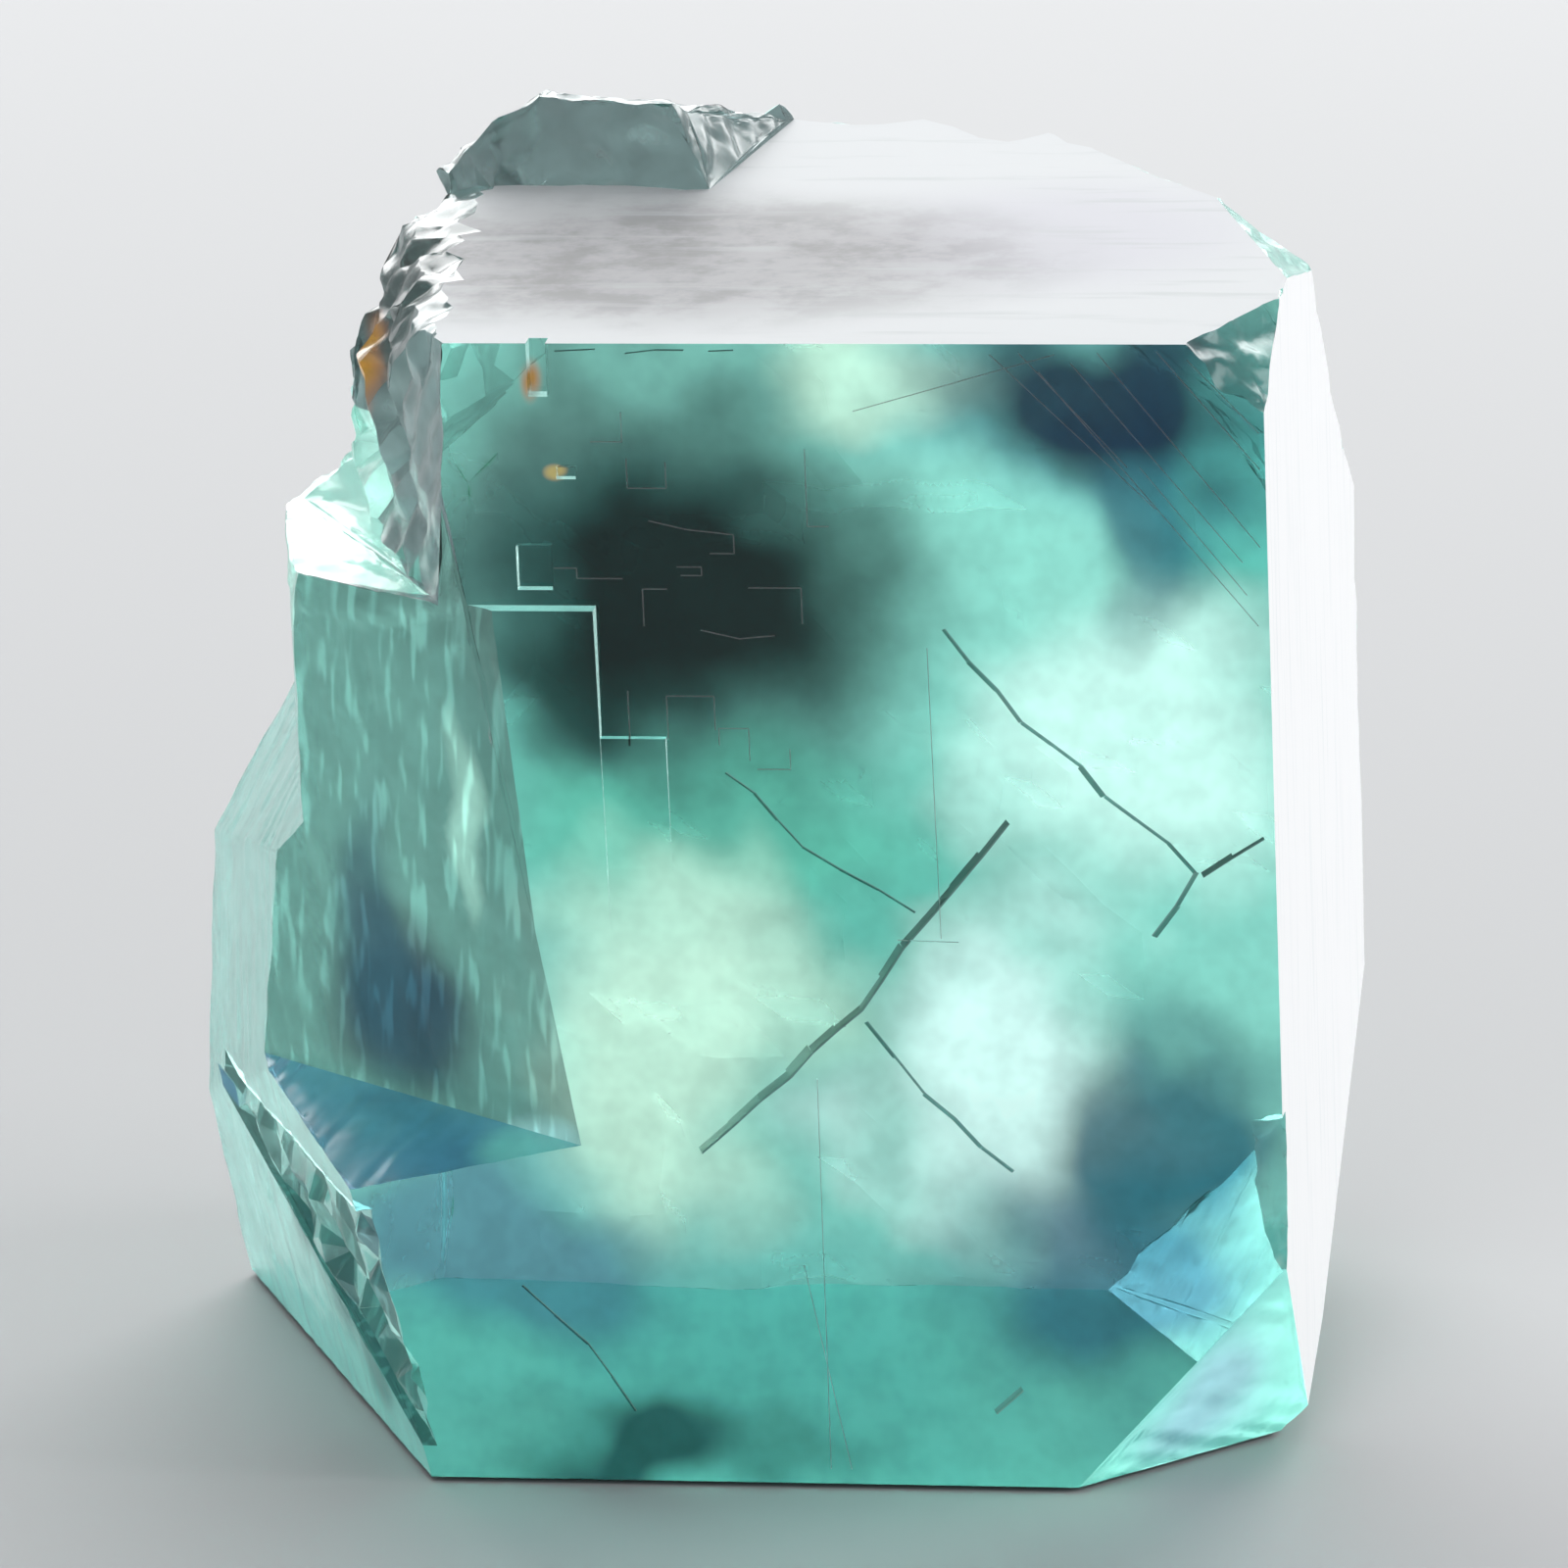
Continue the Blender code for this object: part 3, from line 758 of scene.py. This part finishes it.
def crystal_material():
    """One clear material for the whole crystal, with a satin skin where it is frosted."""
    material = new_material("fluorite")
    tree = material.node_tree
    point = object_point(tree)
    kind = point.node("ShaderNodeAttribute", {"attribute_name": "kind"}, {}, ATTRIBUTE_NUMBER)
    frost = point.node("ShaderNodeAttribute", {"attribute_name": "frost"}, {}, ATTRIBUTE_NUMBER)
    sway = speckle(point, SWAY_SCALE, 2.0, 0.62, output=1).vector("SUBTRACT", (0.5, 0.5, 0.5))
    clear = clear_surface(tree)
    roughness = is_kind(kind, GROWTH_FACE) * -FACET_ROUGHNESS + FACET_ROUGHNESS
    tree.links.new(clear_colour(point, kind, sway).socket, clear.inputs["Base Color"])
    tree.links.new(roughness.socket, clear.inputs["Roughness"])
    satin = tree.nodes.new("ShaderNodeBsdfPrincipled")
    satin.inputs["IOR"].default_value = FLUORITE_IOR
    satin.inputs["Roughness"].default_value = SATIN_ROUGHNESS
    satin.inputs["Specular IOR Level"].default_value = SATIN_SHINE
    tree.links.new(satin_colour(point, kind, sway).socket, satin.inputs["Base Color"])
    rear = clear_surface(tree)
    rear.inputs["Base Color"].default_value = REAR_COLOUR
    rear.inputs["Roughness"].default_value = REAR_ROUGHNESS
    seen = mixed_surface(tree, frost, clear, satin)
    whole = mixed_surface(tree, is_kind(kind, BROKEN), seen, rear)
    inside = tree.nodes.new("ShaderNodeVolumeAbsorption")
    inside.inputs["Color"].default_value = ABSORBED_TINT
    inside.inputs["Density"].default_value = ABSORPTION_DENSITY
    out = tree.nodes.new("ShaderNodeOutputMaterial")
    tree.links.new(whole.outputs[0], out.inputs["Surface"])
    tree.links.new(inside.outputs[0], out.inputs["Volume"])
    return material


def floor_material():
    material = new_material("pale_floor")
    tree = material.node_tree
    paint = tree.nodes.new("ShaderNodeBsdfPrincipled")
    paint.inputs["Base Color"].default_value = FLOOR_COLOUR
    paint.inputs["Roughness"].default_value = FLOOR_ROUGHNESS
    out = tree.nodes.new("ShaderNodeOutputMaterial")
    tree.links.new(paint.outputs[0], out.inputs["Surface"])
    return material


def studio_floor():
    bm = bmesh.new()
    bmesh.ops.create_circle(bm, cap_ends=True, segments=FLOOR_SEGMENTS, radius=FLOOR_RADIUS)
    bmesh.ops.translate(bm, verts=bm.verts, vec=(0, 0, -FLOOR_DROP))
    floor = finished_piece("studio_floor", bm, floor_material())


def soft_light(name, place, width, height, power):
    data = bpy.data.lights.new(name, "AREA")
    data.shape = "RECTANGLE"
    data.size = width
    data.size_y = height
    data.energy = power
    lamp = bpy.data.objects.new(name, data)
    bpy.context.scene.collection.objects.link(lamp)
    lamp.location = place
    lamp.rotation_mode = "QUATERNION"
    lamp.rotation_quaternion = (LIGHT_AIM - Vector(place)).to_track_quat("-Z", "Y")
    lamp.visible_camera = False


def studio_lights():
    world = bpy.data.worlds.new("studio")
    bpy.context.scene.world = world
    world.use_nodes = True
    sky = world.node_tree.nodes["Background"]
    sky.inputs["Color"].default_value = SKY_COLOUR
    sky.inputs["Strength"].default_value = SKY_STRENGTH
    for name, place, width, height, power in SOFTBOXES:
        soft_light(name, place, width, height, power)


def studio_camera():
    around = math.radians(CAMERA_AZIMUTH)
    above = math.radians(CAMERA_ELEVATION)
    roll = math.radians(CAMERA_ROLL)
    level = math.cos(above)
    back = Vector((math.sin(around) * level, -math.cos(around) * level, math.sin(above)))
    right = (-back).cross(Vector((0, 0, 1))).normalized()
    up = right.cross(-back)
    rolled_right = right * math.cos(roll) + up * math.sin(roll)
    rolled_up = up * math.cos(roll) - right * math.sin(roll)
    data = bpy.data.cameras.new("studio_camera")
    data.lens = CAMERA_LENS
    data.sensor_width = CAMERA_SENSOR
    data.clip_start = CAMERA_NEAR
    camera = bpy.data.objects.new("studio_camera", data)
    bpy.context.scene.collection.objects.link(camera)
    turned = Matrix((rolled_right, rolled_up, back)).transposed().to_4x4()
    camera.matrix_world = Matrix.Translation(CAMERA_TARGET + back * CAMERA_DISTANCE) @ turned
    bpy.context.scene.camera = camera


def fluorite_crystal():
    bm = crystal_mesh()
    kind = mark_faces(bm)
    bm, kind = cut_away(bm, face_cuts())
    refine_breaks(bm, kind, BREAK_EDGE)
    roughen_breaks(bm, kind)
    shade(bm, kind)
    paint_facets(bm, kind)
    bmesh.ops.scale(bm, vec=(MM, MM, MM), verts=bm.verts)
    return finished_piece("crystal", bm, crystal_material())


crystal = fluorite_crystal()
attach(crystal, "root")
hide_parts(NODE)
studio_floor()
studio_lights()
studio_camera()
bpy.context.scene.view_settings.view_transform = "Standard"
bpy.context.scene.cycles.use_light_tree = False
bpy.context.scene.cycles.max_bounces = LIGHT_BOUNCES
bpy.context.scene.cycles.transmission_bounces = LIGHT_BOUNCES
